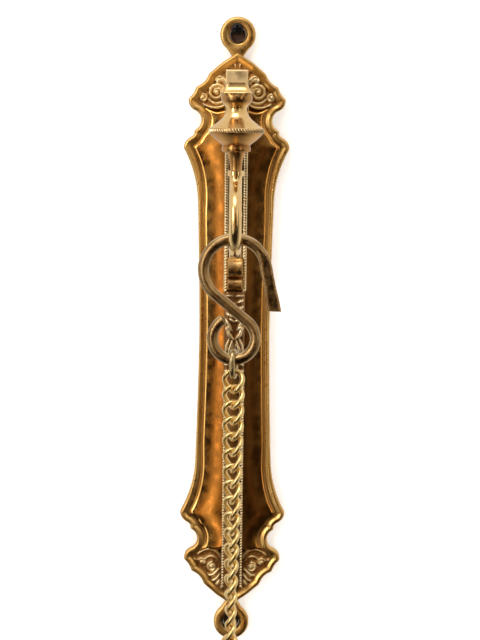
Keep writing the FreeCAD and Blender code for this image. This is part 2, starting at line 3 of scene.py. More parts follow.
import bmesh
import bpy
import numpy as np
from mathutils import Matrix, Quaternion, Vector


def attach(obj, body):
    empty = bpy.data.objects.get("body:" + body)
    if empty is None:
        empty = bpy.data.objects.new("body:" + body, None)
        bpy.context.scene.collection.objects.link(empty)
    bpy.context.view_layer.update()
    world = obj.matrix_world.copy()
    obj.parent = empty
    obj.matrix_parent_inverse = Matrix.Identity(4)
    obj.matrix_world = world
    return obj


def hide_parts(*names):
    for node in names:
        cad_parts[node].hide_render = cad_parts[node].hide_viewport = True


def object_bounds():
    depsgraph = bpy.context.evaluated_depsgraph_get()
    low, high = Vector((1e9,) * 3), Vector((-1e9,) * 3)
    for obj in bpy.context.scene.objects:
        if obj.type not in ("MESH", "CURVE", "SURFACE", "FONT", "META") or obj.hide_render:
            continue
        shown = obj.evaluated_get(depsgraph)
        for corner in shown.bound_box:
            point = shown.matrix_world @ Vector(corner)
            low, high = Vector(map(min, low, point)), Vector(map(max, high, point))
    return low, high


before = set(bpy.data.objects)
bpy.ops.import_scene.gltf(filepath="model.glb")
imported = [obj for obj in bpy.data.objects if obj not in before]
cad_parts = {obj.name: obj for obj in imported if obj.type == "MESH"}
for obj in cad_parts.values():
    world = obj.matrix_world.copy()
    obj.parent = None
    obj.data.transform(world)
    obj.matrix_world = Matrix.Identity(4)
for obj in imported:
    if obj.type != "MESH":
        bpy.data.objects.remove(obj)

cad_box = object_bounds()

# ---------------------------------------------------------------- camera, wall, floor and light
# The bracket hangs on a white wall and is seen straight on, from a little above its middle. The
# room is dark behind the camera and light at its sides; tall softboxes add streaks to the brass.

EYE = Vector((0.003, -1.2, 0.112))
AIM = Vector((0.003, 0.0, 0.006))
ROLL = radians(0.7)

camera_data = bpy.data.cameras.new("studio_camera")
camera_data.lens = 122.7
camera = bpy.data.objects.new("studio_camera", camera_data)
camera.location = EYE
camera.rotation_mode = "QUATERNION"
camera.rotation_quaternion = (AIM - EYE).to_track_quat("-Z", "Y") @ Quaternion((0, 0, 1), ROLL)
bpy.context.scene.collection.objects.link(camera)
bpy.context.scene.camera = camera
bpy.context.scene.view_settings.view_transform = "Standard"


def set_inputs(node, values):
    """Fill in a node's inputs, given by name or number."""
    for key, value in values.items():
        node.inputs[key].default_value = value


def stage_sheet(name, corners, colour, see_through_back, glow=0.0):
    """Large matt sheet; a wall seen from behind lets the bracket's back show."""
    mesh = bpy.data.meshes.new(name)
    mesh.from_pydata(corners, [], [(0, 1, 2, 3)])
    sheet = bpy.data.objects.new(name, mesh)
    bpy.context.scene.collection.objects.link(sheet)
    paint = bpy.data.materials.new(name + "_paint")
    paint.use_nodes = True
    nodes, links = paint.node_tree.nodes, paint.node_tree.links
    shader = nodes["Principled BSDF"]
    set_inputs(shader, {"Base Color": (*colour, 1), "Roughness": 0.85, "Emission Color": (*colour, 1),
                        "Emission Strength": glow})
    if see_through_back:
        side = nodes.new("ShaderNodeNewGeometry")
        clear = nodes.new("ShaderNodeBsdfTransparent")
        mix = nodes.new("ShaderNodeMixShader")
        links.new(side.outputs["Backfacing"], mix.inputs[0])
        links.new(shader.outputs[0], mix.inputs[1])
        links.new(clear.outputs[0], mix.inputs[2])
        links.new(mix.outputs[0], nodes["Material Output"].inputs[0])
    mesh.materials.append(paint)
    sheet.visible_glossy = False


REACH = 2.5
WALL_Y = 0.0012
floor_z = cad_box[0].z - 0.004
stage_sheet("floor", [(-REACH, -REACH, floor_z), (REACH, -REACH, floor_z), (REACH, REACH, floor_z),
                      (-REACH, REACH, floor_z)], (0.88, 0.875, 0.865), False)
stage_sheet("wall", [(-REACH, WALL_Y, floor_z), (REACH, WALL_Y, floor_z), (REACH, WALL_Y, REACH),
                     (-REACH, WALL_Y, REACH)], (0.93, 0.93, 0.935), True, 0.42)


def softbox(name, place, target, wide, high, watts, colour=(1.0, 0.97, 0.93)):
    """Flat lamp that faces its target; sizes in metres."""
    light = bpy.data.lights.new(name, "AREA")
    light.shape = "RECTANGLE"
    light.size, light.size_y, light.energy, light.color = wide, high, watts, colour
    lamp = bpy.data.objects.new(name, light)
    lamp.location = place
    lamp.rotation_mode = "QUATERNION"
    lamp.rotation_quaternion = (Vector(target) - Vector(place)).to_track_quat("-Z", "Y")
    bpy.context.scene.collection.objects.link(lamp)


softbox("softbox_left", (-0.95, -1.15, 0.44), (0, 0, 0), 0.40, 1.0, 7)
softbox("softbox_left_low", (-0.95, -1.15, -0.50), (0, 0, 0), 0.40, 0.8, 2.2)
softbox("softbox_right", (0.85, -1.25, 0.25), (0, 0, 0), 0.18, 1.3, 1.5, (1.0, 0.80, 0.55))
softbox("softbox_streak", (-0.36, -1.55, 0.0), (0, 0, 0), 0.13, 1.7, 1.3, (1.0, 0.66, 0.36))
softbox("softbox_low", (0.36, -1.5, -0.1), (0, 0, 0), 0.04, 1.5, 0.05, (1.0, 0.5, 0.25))
softbox("softbox_top", (-0.25, -0.75, 1.25), (0, -0.05, 0), 0.9, 0.5, 6)

world = bpy.data.worlds.new("studio")
bpy.context.scene.world = world
world.use_nodes = True
sky, sky_links = world.node_tree.nodes, world.node_tree.links
direction = sky.new("ShaderNodeTexCoord")
split = sky.new("ShaderNodeSeparateXYZ")
facing = sky.new("ShaderNodeValToRGB")
facing.color_ramp.elements[0].position = 0.10
facing.color_ramp.elements[0].color = (0.025, 0.018, 0.012, 1)
facing.color_ramp.elements[1].position = 1.0
facing.color_ramp.elements[1].color = (1.0, 0.93, 0.82, 1)
shift = sky.new("ShaderNodeMath")
shift.operation = "ADD"
set_inputs(shift, {1: 1.0})
stretch = sky.new("ShaderNodeMapping")
set_inputs(stretch, {"Scale": (9.0, 2.0, 0.5)})
drapes = sky.new("ShaderNodeTexNoise")
set_inputs(drapes, {"Scale": 1.0, "Detail": 2.0})
fold = sky.new("ShaderNodeMath")
fold.operation = "MULTIPLY_ADD"
set_inputs(fold, {1: 0.5, 2: -0.25})
total = sky.new("ShaderNodeMath")
total.operation = "ADD"
lift = sky.new("ShaderNodeMath")
lift.operation = "MULTIPLY_ADD"
set_inputs(lift, {1: 0.72})
sky_links.new(direction.outputs["Generated"], split.inputs[0])
sky_links.new(split.outputs["Y"], shift.inputs[0])
sky_links.new(direction.outputs["Generated"], stretch.inputs["Vector"])
sky_links.new(stretch.outputs[0], drapes.inputs["Vector"])
sky_links.new(drapes.outputs[0], fold.inputs[0])
sky_links.new(shift.outputs[0], total.inputs[0])
sky_links.new(fold.outputs[0], total.inputs[1])
sky_links.new(split.outputs["Z"], lift.inputs[0])
sky_links.new(total.outputs[0], lift.inputs[2])
sky_links.new(lift.outputs[0], facing.inputs[0])
sky_links.new(facing.outputs[0], sky["Background"].inputs["Color"])
set_inputs(sky["Background"], {"Strength": 0.85})

# ---------------------------------------------------------------- back plate
# Cast brass plate, lacquered and polished. A rolled border runs round a crowned panel that is
# buffed to a mirror; the two hanging lugs are plain. Screws for arm and brace come through the back.

MM = 0.001
PLATE_FRONT = 3.2
GUTTER = 3.6
PANEL_EDGE = 4.4
PANEL_ROLL = 2.0
PANEL_TOP = 7.0
PANEL_CROWN = 2.0
PANEL_END = 122.4
LUG_Z = 162.3
LUG_RADIUS = 9.7
LUG_HOLE = 4.4
SCREW_HEIGHTS = (135.3, 78.0, -108.0)


def brass(name, light, deep, rough, grain=(60, 60, 60), lacquer=0.0, bump=0.15, pits=0.0, painted_light=None,
          blotch=0.5):
    """Brass finish: cloudy colour, uneven polish, fine scratches along the grain, and painted light mixed in
    by a mask.
    """
    finish = bpy.data.materials.new(name)
    finish.use_nodes = True
    nodes, links = finish.node_tree.nodes, finish.node_tree.links
    shader = nodes["Principled BSDF"]
    set_inputs(shader, {"Metallic": 1.0, "Coat Weight": lacquer, "Coat Roughness": 0.08})
    place = nodes.new("ShaderNodeTexCoord")

    def noise(scale, detail, stretch=(1, 1, 1)):
        mapping = nodes.new("ShaderNodeMapping")
        set_inputs(mapping, {"Scale": stretch})
        cloud = nodes.new("ShaderNodeTexNoise")
        set_inputs(cloud, {"Scale": scale, "Detail": detail})
        links.new(place.outputs["Object"], mapping.inputs["Vector"])
        links.new(mapping.outputs[0], cloud.inputs["Vector"])
        return cloud.outputs[0]

    largest = max(grain)
    along = tuple(axis / largest for axis in grain)
    tone = nodes.new("ShaderNodeValToRGB")
    tone.color_ramp.elements[0].position = 0.5 - blotch / 2
    tone.color_ramp.elements[0].color = (*deep, 1)
    tone.color_ramp.elements[1].position = 0.5 + blotch / 2
    tone.color_ramp.elements[1].color = (*light, 1)
    links.new(noise(largest, 4.0, along), tone.inputs[0])
    colour = tone.outputs[0]
    # Painted light: where the mesh's mask says, this colour is mixed in, as painted shade in hollows and
    # creases, and on the S-hook as a painted highlight.
    if painted_light:
        mask = nodes.new("ShaderNodeAttribute")
        mask.attribute_name = "painted_light"
        painted_light_mix = nodes.new("ShaderNodeMix")
        painted_light_mix.data_type = "RGBA"
        set_inputs(painted_light_mix, {7: (*painted_light, 1)})
        links.new(mask.outputs["Fac"], painted_light_mix.inputs[0])
        links.new(colour, painted_light_mix.inputs[6])
        colour = painted_light_mix.outputs[2]
    links.new(colour, shader.inputs["Base Color"])
    dull = nodes.new("ShaderNodeMapRange")
    set_inputs(dull, {"From Min": 0.3, "From Max": 0.7, "To Min": rough * 0.7, "To Max": rough * 1.5})
    links.new(noise(220, 3.0), dull.inputs["Value"])
    links.new(dull.outputs[0], shader.inputs["Roughness"])
    scratch = nodes.new("ShaderNodeBump")
    set_inputs(scratch, {"Strength": bump, "Distance": 0.00005})
    links.new(noise(1400, 2.0, along), scratch.inputs["Height"])
    last = scratch
    if pits:
        hollow = nodes.new("ShaderNodeBump")
        set_inputs(hollow, {"Strength": pits, "Distance": 0.0004})
        links.new(noise(420, 4.0), hollow.inputs["Height"])
        links.new(scratch.outputs[0], hollow.inputs["Normal"])
        last = hollow
    links.new(last.outputs[0], shader.inputs["Normal"])
    return finish


plate_finish = brass("lacquered_plate_brass", (0.84, 0.48, 0.13), (0.54, 0.22, 0.04), 0.18,
                     grain=(170, 60, 9), lacquer=0.3, bump=0.06)
# The border's dark second colour is painted shade, laid into the gutter, along the edge beside the back and
# in the screw holes.
border_finish = brass("rolled_border_brass", (0.86, 0.56, 0.20), (0.62, 0.33, 0.08), 0.30,
                      grain=(70, 70, 50), lacquer=0.1, bump=0.05, painted_light=(0.36, 0.18, 0.05))


def arc_through(a, b, c, count):
    """Points along the arc from a through b to c."""
    (ax, az), (bx, bz), (cx, cz) = a, b, c
    d = 2 * (ax * (bz - cz) + bx * (cz - az) + cx * (az - bz))
    ux = ((ax**2 + az**2) * (bz - cz) + (bx**2 + bz**2) * (cz - az) + (cx**2 + cz**2) * (az - bz)) / d
    uz = ((ax**2 + az**2) * (cx - bx) + (bx**2 + bz**2) * (ax - cx) + (cx**2 + cz**2) * (bx - ax)) / d
    start, middle, end = (atan2(z - uz, x - ux) for x, z in (a, b, c))
    turn = (end - start) % (2 * pi)
    if (middle - start) % (2 * pi) > turn:
        turn -= 2 * pi
    radius = hypot(ax - ux, az - uz)
    return [(ux + radius * cos(start + turn * k / count), uz + radius * sin(start + turn * k / count))
            for k in range(count)]


def quarter_edge():
    """Upper right edge of the plate from the waist up to the point under the lug."""
    steps = [
        ((19.3, 0.0), (20.0, 42.0), (20.9, 72.0)),
        ((20.9, 72.0), (23.2, 86.6), (29.0, 100.5)),
        ((29.0, 100.5), (28.1, 103.7), (24.8, 106.5)),
        ((24.8, 106.5), (23.0, 108.1)),
        ((23.0, 108.1), (23.3, 110.1)),
        ((23.3, 110.1), (19.4, 115.1), (22.2, 120.7)),
        ((22.2, 120.7), (25.4, 122.9), (26.5, 127.5)),
        ((26.5, 127.5), (24.0, 130.1), (22.4, 133.9)),
        ((22.4, 133.9), (18.1, 136.5), (15.6, 140.9)),
        ((15.6, 140.9), (8.4, 147.1)),
        ((8.4, 147.1), (0.0, 152.6)),
    ]
    points = []
    for step in steps:
        if len(step) == 3:
            points += arc_through(*step, 40)
        else:
            (ax, az), (bx, bz) = step
            points += [(ax + (bx - ax) * k / 20, az + (bz - az) * k / 20) for k in range(20)]
    return points


def even_loop(points, step):
    """The closed loop resampled at an even step with its corners just broken."""
    loop = np.array(points + [points[0]])
    length = np.concatenate([[0], np.cumsum(np.linalg.norm(np.diff(loop, axis=0), axis=1))])
    count = int(length[-1] / step)
    at = np.arange(count) * length[-1] / count
    loop = np.stack([np.interp(at, length, loop[:, 0]), np.interp(at, length, loop[:, 1])], axis=1)
    for _ in range(7):
        loop = 0.5 * loop + 0.25 * (np.roll(loop, 1, axis=0) + np.roll(loop, -1, axis=0))
    return loop


quarter = quarter_edge()
right = [(x, -z) for x, z in reversed(quarter)][:-1] + quarter
full = right + [(0.0, 152.6)] + [(-x, z) for x, z in reversed(right)]
plate_edge = even_loop(full, 0.33)
step_along = np.roll(plate_edge, -1, axis=0) - np.roll(plate_edge, 1, axis=0)
step_along /= np.linalg.norm(step_along, axis=1)[:, None]
inward = np.stack([-step_along[:, 1], step_along[:, 0]], axis=1)


def edge_distance(points):
    """Distance from each point to the plate's edge."""
    out = np.empty(len(points))
    for start in range(0, len(points), 2000):
        part = points[start:start + 2000]
        gap = part[:, None, :] - plate_edge[None, :, :]
        out[start:start + 2000] = np.sqrt((gap**2).sum(axis=2).min(axis=1))
    return out


ridge = np.full(len(plate_edge), 1.25 * GUTTER)
for trial in np.arange(0.5, 1.25 * GUTTER, 0.2):
    blocked = edge_distance(plate_edge + inward * trial) < trial - 0.06
    ridge = np.where(blocked & (ridge > trial), trial - 0.1, ridge)


def inset_ring(depth, y):
    """The plate's edge moved inward, less at the waist; where two sides meet it stops on the mitre."""
    wide = np.interp(np.abs(plate_edge[:, 1]), [0, 62, 92, 160], [0.74, 0.74, 1.2, 1.2])
    moved = plate_edge + inward * np.minimum(depth * wide, ridge)[:, None]
    return np.column_stack([moved[:, 0], np.full(len(moved), -y), moved[:, 1]])


def grid_faces(rows, cols, wrap, offset=0):
    faces = []
    for row in range(rows - 1):
        for col in range(cols if wrap else cols - 1):
            a, b = offset + row * cols + col, offset + row * cols + (col + 1) % cols
            faces.append((a, b, b + cols, a + cols))
    return faces


def finish_mesh(name, verts, faces, material, fill=False, merge=0.0, sharp=40, painted_light=None, rework=None):
    """A mesh object from points in millimetres, closed, facing outward and smooth between sharp edges."""
    mesh = bpy.data.meshes.new(name)
    mesh.from_pydata([tuple(v * MM for v in p) for p in verts], [], faces)
    # The painted-light mask (painted shade or painted highlight) is stored on the points for the finish to
    # read.
    if painted_light is not None:
        mesh.attributes.new("painted_light", "FLOAT", "POINT").data.foreach_set("value", painted_light)
    bm = bmesh.new()
    bm.from_mesh(mesh)
    if merge:
        bmesh.ops.remove_doubles(bm, verts=bm.verts, dist=merge * MM)
    if rework:
        rework(bm)
    if fill:
        bmesh.ops.triangle_fill(bm, use_beauty=True, use_dissolve=False,
                                edges=[e for e in bm.edges if e.is_boundary])
    bmesh.ops.recalc_face_normals(bm, faces=bm.faces)
    bm.to_mesh(mesh)
    bm.free()
    mesh.shade_smooth()
    mesh.set_sharp_from_angle(angle=radians(sharp))
    mesh.materials.append(material)
    piece = bpy.data.objects.new(name, mesh)
    bpy.context.scene.collection.objects.link(piece)
    return piece


def join(name, parts):
    """Several meshes made one object; each part keeps its own finish."""
    bpy.ops.object.select_all(action="DESELECT")
    for part in parts:
        part.select_set(True)
    bpy.context.view_layer.objects.active = parts[0]
    bpy.ops.object.join()
    parts[0].name = parts[0].data.name = name
    return parts[0]


def plate_body():
    """Border, gutter floor and flat back with the screw holes countersunk in it."""
    border = [(0.5, 0.0), (0.0, 0.4), (0.0, 3.9), (0.12, 4.5), (0.4, 4.95), (0.8, 5.25), (1.2, 5.35),
              (1.6, 5.28), (2.0, 5.08), (2.4, 4.82), (2.8, 4.6), (3.2, 4.5), (GUTTER, 4.5),
              (GUTTER, PLATE_FRONT)]
    rings = [inset_ring(depth, y) for depth, y in border]
    count = len(plate_edge)
    verts = np.concatenate(rings)
    faces = grid_faces(len(rings), count, True)
    # Painted shade: the gutter floor, the side next to the back and the screw holes are darkened.
    dark = np.concatenate([np.full(count, 0.45 if depth > 2.7 else (0.5 if y < 2 else 0.0))
                           for depth, y in border])
    holes, around = [], 32
    base = len(verts)
    for z in SCREW_HEIGHTS:
        for radius, y in ((4.6, 0.0), (2.55, 2.05), (2.55, 3.1)):
            for k in range(around):
                turn = 2 * pi * k / around
                holes.append((radius * cos(turn), -y, z + radius * sin(turn)))
        faces += grid_faces(3, around, True, base)
        faces.append(tuple(base + 2 * around + k for k in range(around)))
        base += 3 * around
    verts = np.concatenate([verts, np.array(holes)])
    dark = np.concatenate([dark, np.full(len(holes), 0.3)])

    def close_back_and_front(bm):
        for level in (0.0, -PLATE_FRONT * MM):
            loops = [e for e in bm.edges
                     if e.is_boundary and all(abs(v.co.y - level) < 1e-6 for v in e.verts)]
            bmesh.ops.triangle_fill(bm, use_beauty=True, use_dissolve=False, edges=loops)

    return finish_mesh("plate_body", verts, faces, border_finish, merge=0.002, painted_light=dark,
                       rework=close_back_and_front)


def plate_lug(end):
    """Round eye with a countersunk hole; its neck runs in under the border's point."""
    count = 120
    neck_low = 148.0
    outer = []
    for k in range(count):
        turn = 2 * pi * k / count
        dx, dz = sin(turn), cos(turn)
        reach = LUG_RADIUS
        if dz < 0:
            low = (LUG_Z - neck_low) / -dz
            reach = max(reach, min(low, 11.2 / (abs(dx) - 0.68 * dz))) if dz < -0.56 else reach
        outer.append((dx, dz, reach))
    profile = [("hole", 0.0, 0.3), ("hole", 0.0, 3.4), ("hole", 0.5, 4.0), ("hole", 1.1, 4.5),
               ("hole", 1.35, 4.62), ("rim", 1.6, 4.62), ("rim", 0.9, 4.5), ("rim", 0.35, 4.1),
               ("rim", 0.0, 3.3), ("rim", 0.0, 0.6), ("rim", 0.4, 0.15), ("hole", 0.6, 0.15)]
    verts = []
    for kind, offset, y in profile:
        for dx, dz, reach in outer:
            r = LUG_HOLE + offset if kind == "hole" else reach - offset
            verts.append((r * dx, -y, end * (LUG_Z + r * dz)))
    faces = grid_faces(len(profile), count, True)
    last = (len(profile) - 1) * count
    faces += [(last + k, last + (k + 1) % count, (k + 1) % count, k) for k in range(count)]
    return finish_mesh("plate_lug", verts, faces, border_finish, painted_light=np.zeros(len(verts)))


def inner_half_width(heights):
    """Half-width of the panel at each height, from the plate's edge moved in by the gutter."""
    ring = inset_ring(GUTTER, 0)
    side = ring[ring[:, 0] > 0.5]
    order = np.argsort(side[:, 2])
    z, x = side[order, 2], side[order, 0]
    return np.array([x[np.abs(z - height) < 0.5].min() if (np.abs(z - height) < 0.5).any()
                     else np.interp(height, z, x) for height in heights])


def plate_panel():
    """Crowned mirror panel with rolled edges; its ends are scooped to follow the castings."""
    rows, cols = 420, 61
    level = np.linspace(-PANEL_END, PANEL_END, rows)
    half = inner_half_width(level)
    for _ in range(4):
        half[1:-1] = 0.5 * half[1:-1] + 0.25 * (half[:-2] + half[2:])
    slope = np.gradient(half, level)
    lean = 1 / np.sqrt(1 + slope**2)
    spread = np.linspace(-1, 1, cols)
    spread = np.sign(spread) * (1 - (1 - np.abs(spread))**1.5)
    x = half[:, None] * spread[None, :]
    z = np.repeat(level[:, None], cols, axis=1)
    near_end = np.clip((np.abs(z) - 104.0) / (PANEL_END - 104.0), 0, 1)**2
    scoop = 1.8 * np.exp(-((np.abs(x) - 11.0) / 4.5)**2)
    z = z - np.sign(z) * near_end * np.where(z > 0, scoop, -0.6 * scoop + 1.2)
    side_gap = (half[:, None] - np.abs(x)) * lean[:, None]
    end_gap = PANEL_END - np.abs(np.repeat(level[:, None], cols, axis=1))
    gap = np.minimum(side_gap, end_gap)
    share = np.clip(gap / PANEL_ROLL, 0, 1)
    rise = 0.15 * np.clip(gap / 0.3, 0, 1) + 0.85 * share * (2 - share)
    crown = PANEL_TOP - PANEL_CROWN * (x / half[:, None])**2
    y = PANEL_EDGE + (crown - PANEL_EDGE) * rise
    verts = np.stack([x, -y, z], axis=2).reshape(-1, 3)
    return finish_mesh("plate_panel", verts, grid_faces(rows, cols, False), plate_finish, fill=True, sharp=60)


plate = join("backplate_border", [plate_body(), plate_lug(1), plate_lug(-1)])
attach(plate, "bracket")
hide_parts("backplate")
panel = plate_panel()
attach(panel, "bracket")


def wall_screw(x, z, radius):
    """Black cross-head screw that holds a lug to the wall; it belongs to the room."""
    around = 96
    verts = []
    rings = [(0.0, 7.2), (0.15, 7.2), (0.3, 7.2), (0.42, 7.1), (0.5, 7.0), (0.62, 6.8), (0.78, 6.4),
             (0.92, 5.8), (1.0, 5.1), (1.0, 4.9), (0.5, 4.9), (0.5, 0.0)]
    for share, y in rings:
        for k in range(around):
            turn = 2 * pi * k / around
            dx, dz = share * radius * cos(turn), share * radius * sin(turn)
            slot = min(abs(dx), abs(dz)) < 0.5 and max(abs(dx), abs(dz)) < 1.75 and y > 5.5
            verts.append((x + dx, -(y - 1.5 if slot else y), z + dz))
    paint = brass("black_screw", (0.05, 0.05, 0.055), (0.02, 0.02, 0.024), 0.42, bump=0.2)
    screw = finish_mesh("wall_screw", verts, grid_faces(len(rings), around, True), paint, sharp=30)


WALL_SCREW_RADIUS = 3.4
wall_screw(-0.4, 165.2, WALL_SCREW_RADIUS)
wall_screw(0.0, -LUG_Z, WALL_SCREW_RADIUS)
# A dark disc at the back of each lug hole is painted shade: the hole shows dark instead of the white wall.
for number, z in enumerate((LUG_Z, -LUG_Z), start=1):
    ring = [(r * cos(2 * pi * k / 48), -y, z + r * sin(2 * pi * k / 48))
            for r, y in ((0.0, 0.5), (4.2, 0.5), (4.3, 0.2), (0.0, 0.2)) for k in range(48)]
    hole_shade_paint = brass("hole_shade_disc", (0.20, 0.13, 0.10), (0.10, 0.06, 0.05), 0.6)
    finish_mesh(f"hole_shade_disc_{number}", ring, grid_faces(4, 48, True), hole_shade_paint, merge=0.001)

# ---------------------------------------------------------------- relief castings
# Scrolls and leaves cast in one with a thin plaque at each end of the plate. The metal is a paler,
# satin gold; painted shade darkens the hollows and the plaque between the scrolls and leaves.

# Its dark painted-light colour is painted shade in the casting's hollows.
relief_finish = brass("relief_brass", (1.0, 0.82, 0.47), (0.90, 0.66, 0.32), 0.42, grain=(130, 130, 130),
                      bump=0.15, pits=0.10, painted_light=(0.40, 0.20, 0.06))


def spiral(x, z, radius, turns, start, hand, width, height, tail=0.25):
    """Stroke of a volute: points, half-widths and heights from its mouth to its eye."""
    points = []
    count = int(44 * turns)
    for k in range(count + 1):
        share = k / count
        turn = radians(start) + hand * 2 * pi * turns * share
        r = radius * (1 - share) ** 0.85 + tail * radius * share
        points.append((x + r * cos(turn), z + r * sin(turn), width * (1 - 0.35 * share),
                       height * (0.8 + 0.2 * share)))
    points.append((x, z, width * 1.25, height * 1.05))
    return points


def stroke(points, width, height, taper=0.5):
    """Leaf or stem through the given points, fullest in the middle."""
    points = np.array(points, dtype=float)
    length = np.concatenate([[0], np.cumsum(np.linalg.norm(np.diff(points, axis=0), axis=1))])
    out = []
    for share in np.linspace(0, 1, 40):
        at = share * length[-1]
        full = 1 - taper * (2 * share - 1) ** 2
        out.append((np.interp(at, length, points[:, 0]), np.interp(at, length, points[:, 1]),
                    width * full, height * full))
    return out


def curve_stroke(a, b, c, width, height, taper=0.5):
    return stroke(arc_through(a, b, c, 24) + [c], width, height, taper)


def cast_height(x, z, strokes):
    """Height of the casting over its plaque: the highest of the round-backed strokes."""
    total = np.zeros(x.shape)
    for line in strokes:
        line = np.array(line)
        low, high = line[:, :2].min(axis=0) - 2.5, line[:, :2].max(axis=0) + 2.5
        near = (x > low[0]) & (x < high[0]) & (z > low[1]) & (z < high[1])
        if not near.any():
            continue
        px, pz = x[near][:, None], z[near][:, None]
        share = ((px - line[None, :, 0])**2 + (pz - line[None, :, 1])**2) / line[None, :, 2]**2
        dome = line[None, :, 3] * np.sqrt(np.clip(1 - share, 0, 1))
        total[near] = np.maximum(total[near], dome.max(axis=1))
    return total


def soften(field, times):
    for _ in range(times):
        padded = np.pad(field, 1, mode="edge")
        field = (4 * field + padded[:-2, 1:-1] + padded[2:, 1:-1] + padded[1:-1, :-2] + padded[1:-1, 2:]) / 8
    return field


def sheet_from_field(name, x, z, front, keep, back, material, painted_light_mix):
    """Closed casting from a field of front heights; cells outside `keep` are left out."""
    rows, cols = x.shape
    index = -np.ones(x.shape, dtype=int)
    cells = keep[:-1, :-1] & keep[1:, :-1] & keep[:-1, 1:] & keep[1:, 1:]
    used = np.zeros(x.shape, dtype=bool)
    for dr in (0, 1):
        for dc in (0, 1):
            used[dr:rows - 1 + dr, dc:cols - 1 + dc] |= cells
    index[used] = np.arange(used.sum())
    verts = np.column_stack([x[used], -front[used], z[used]])
    faces = [(index[r, c], index[r, c + 1], index[r + 1, c + 1], index[r + 1, c])
             for r, c in np.argwhere(cells)]

    def add_walls(bm):
        rim = [e for e in bm.edges if e.is_boundary]
        made = bmesh.ops.extrude_edge_only(bm, edges=rim)["geom"]
        for vert in (v for v in made if isinstance(v, bmesh.types.BMVert)):
            vert.co.y = -back * MM

    return finish_mesh(name, verts, faces, material, fill=True, sharp=70, painted_light=painted_light_mix[used],
                       rework=add_walls)


def both_sides(strokes):
    return strokes + [[(-p[0], *p[1:]) for p in line] for line in strokes]


top_strokes = both_sides([
    spiral(11.3, 130.9, 4.6, 1.6, -150, -1, 1.15, 2.3),
    curve_stroke((5.2, 129.6), (10.6, 125.0), (16.4, 128.4), 0.95, 1.7),
    curve_stroke((4.2, 126.2), (10.9, 122.6), (18.4, 124.6), 1.0, 2.2, 0.3),
    spiral(10.2, 137.6, 2.3, 1.2, 200, -1, 0.85, 2.0),
    stroke([(3.4, 132.5), (5.4, 136.2), (8.2, 139.6)], 1.1, 1.9),
    stroke([(5.6, 134.0), (7.6, 136.5), (9.2, 140.6)], 0.8, 1.5),
    stroke([(13.6, 135.8), (15.2, 134.0), (17.6, 133.4)], 1.0, 1.6),
    spiral(18.6, 127.8, 2.3, 1.2, 60, 1, 0.85, 2.0),
    stroke([(17.6, 124.2), (19.0, 121.9), (17.4, 118.9)], 1.0, 1.7),
    stroke([(13.8, 138.2), (11.4, 141.6)], 0.9, 1.5),
    stroke([(9.6, 142.4), (6.2, 143.2)], 0.9, 1.6),
    stroke([(5.6, 144.4), (3.4, 146.2)], 0.8, 1.6),
    stroke([(1.0, 144.2), (1.9, 147.8)], 0.75, 1.7),
])
bottom_strokes = both_sides([
    curve_stroke((6.0, -126.4), (11.4, -121.2), (18.8, -124.4), 1.15, 2.2, 0.3),
    curve_stroke((7.6, -128.6), (11.4, -125.3), (15.2, -128.8), 0.9, 1.7),
    spiral(10.8, -131.4, 2.7, 1.3, 90, -1, 1.0, 2.3),
    spiral(16.4, -128.6, 2.1, 1.1, 20, 1, 0.8, 1.9),
    stroke([(19.6, -127.6), (22.2, -127.2)], 0.8, 1.5),
    stroke([(20.6, -131.0), (16.6, -134.2), (13.2, -137.4)], 0.95, 1.9, 0.4),
    stroke([(7.0, -132.8), (10.6, -136.2), (14.0, -136.0)], 1.2, 1.9),
    stroke([(6.6, -135.6), (8.8, -138.6), (12.0, -139.6)], 1.25, 2.0),
    stroke([(6.4, -138.8), (8.0, -141.2), (9.8, -142.2)], 1.2, 1.9),
    stroke([(3.2, -139.0), (5.6, -143.4), (6.8, -144.6)], 1.2, 1.9),
    stroke([(1.0, -141.0), (2.6, -146.4)], 1.1, 1.8),
])


def make_relief(name, strokes, end):
    """Casting for one end of the plate; its inner edge hangs in two swags over the panel."""
    step = 0.27
    x, height = np.meshgrid(np.arange(-26.2, 26.21, step), np.arange(117.0, 150.8, step))
    z = end * height
    rim = edge_distance(np.column_stack([x.ravel(), z.ravel()])).reshape(x.shape)
    dome = soften(cast_height(x, z, strokes), 3)
    grain = 0.10 * np.sin(2.1 * x + 0.7 * z) * np.sin(1.7 * z - 0.4 * x)
    if end > 0:
        swag = 122.2 - 1.6 * np.exp(-((np.abs(x) - 11.0) / 4.5)**2) + 0.4
    else:
        swag = 123.8 - 3.2 * np.exp(-((np.abs(x) - 11.5) / 4.8)**2)
    drop = np.clip((height - swag + 0.9) / 0.9, 0, 1)
    front = 3.55 + grain + np.minimum(dome, 2.65)
    front = 2.8 + (front - 2.8) * np.sqrt(drop)
    front = np.where(rim < 4.2, np.minimum(front, 3.6), front)
    front = np.minimum(soften(front, 1), 6.4)
    widths = np.interp(np.abs(z), [p[1] for p in quarter], [p[0] for p in quarter])
    inside = (np.abs(x) < widths) & (rim > 2.9) & (height > swag - 1.2)
    # Painted shade: the casting darkens where it stands low between the strokes.
    hollow = np.clip(1.15 - 0.75 * dome, 0, 1) ** 1.5
    return sheet_from_field(name, x, z, front, inside, 1.5, relief_finish, hollow)


for name, strokes, end in (("top_scrollwork", top_strokes, 1), ("bottom_leafwork", bottom_strokes, -1)):
    casting = make_relief(name, strokes, end)
    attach(casting, "bracket")
    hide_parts("top_relief" if end > 0 else "bottom_relief")

# ---------------------------------------------------------------- arm
# Square cast bar that stands out from the plate and carries the turned drop; a screw from behind
# holds it. It is filed flat, then polished to a pale gold.

polish = brass("polished_arm_brass", (0.98, 0.78, 0.46), (0.90, 0.66, 0.34), 0.52, grain=(30, 20, 30),
               bump=0.05)


def coat(node, finish):
    """Put a finish on a CAD part; its shape stays as it is."""
    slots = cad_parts[node].data.materials
    slots.clear()
    slots.append(finish)


